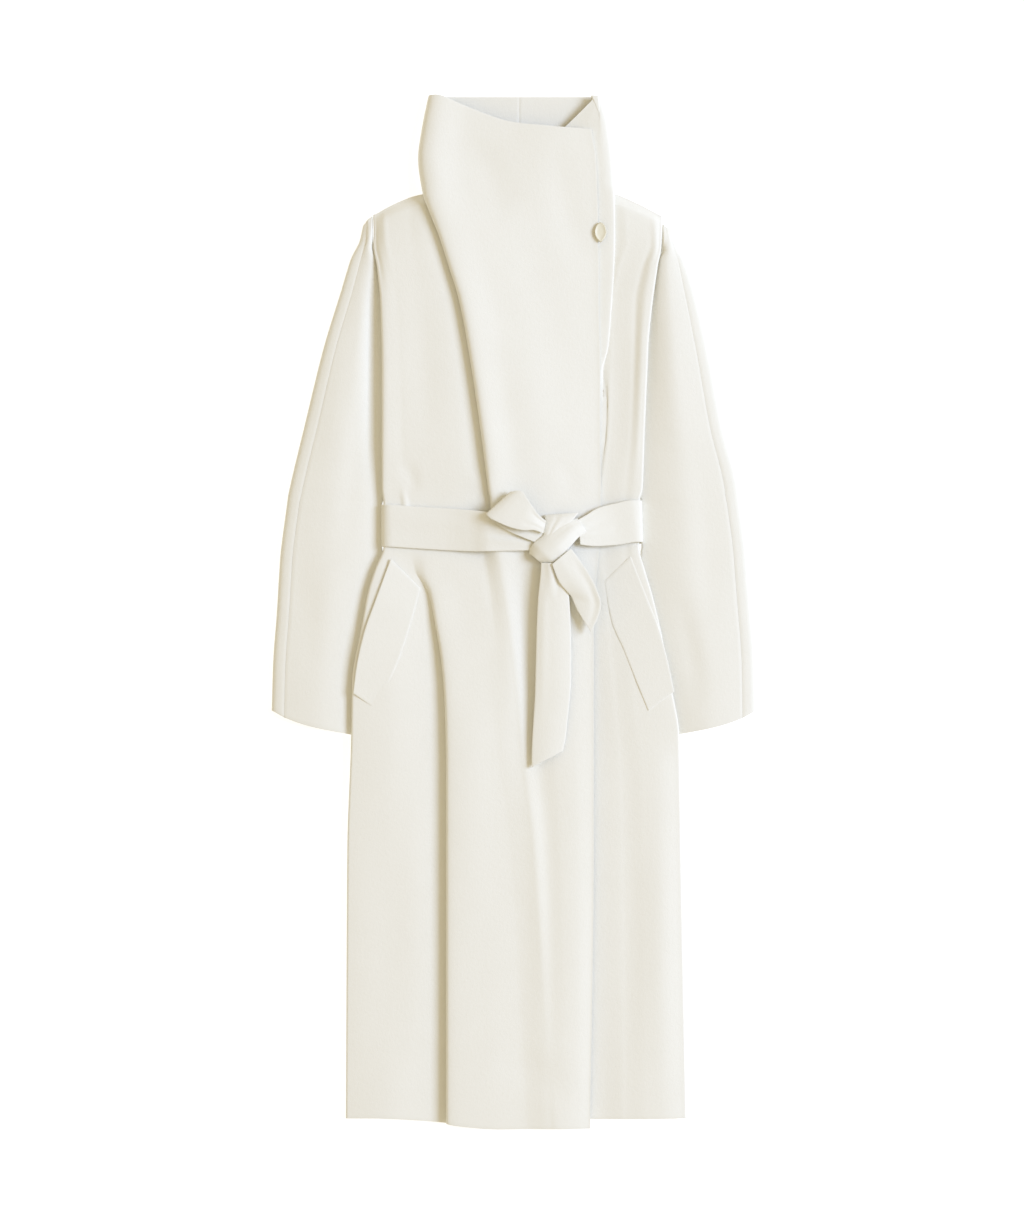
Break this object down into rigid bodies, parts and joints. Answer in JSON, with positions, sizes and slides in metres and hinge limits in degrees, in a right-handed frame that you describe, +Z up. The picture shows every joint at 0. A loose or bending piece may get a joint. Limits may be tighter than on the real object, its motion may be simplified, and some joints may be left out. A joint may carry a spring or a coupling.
{
  "type": "wrap coat",
  "caption": "Long wool wrap coat with a high funnel collar, draped front, slanting pocket welts and a tied belt, lying flat.",
  "frame": {"origin": "centre of the coat's box, on the surface it lies on", "axes": "+X towards the wearer's left, +Y from hem to collar, +Z up out of the surface"},
  "size_m": [0.6582, 1.4008, 0.0467],
  "materials": {
    "wool": "soft brushed double-faced wool",
    "horn": "satin, horn-like"
  },
  "bodies": {
    "root": {"back": "wool", "front_right": "wool", "front_left": "wool", "sleeve_right_front": "wool", "sleeve_right_back": "wool", "sleeve_left_front": "wool", "sleeve_left_back": "wool", "pocket_welt_right": "wool", "pocket_welt_left": "wool", "belt_band": "wool", "belt_knot": "wool", "belt_loop": "wool", "belt_long_end": "wool", "belt_short_end": "wool", "button": "horn"}
  },
  "joints": []
}
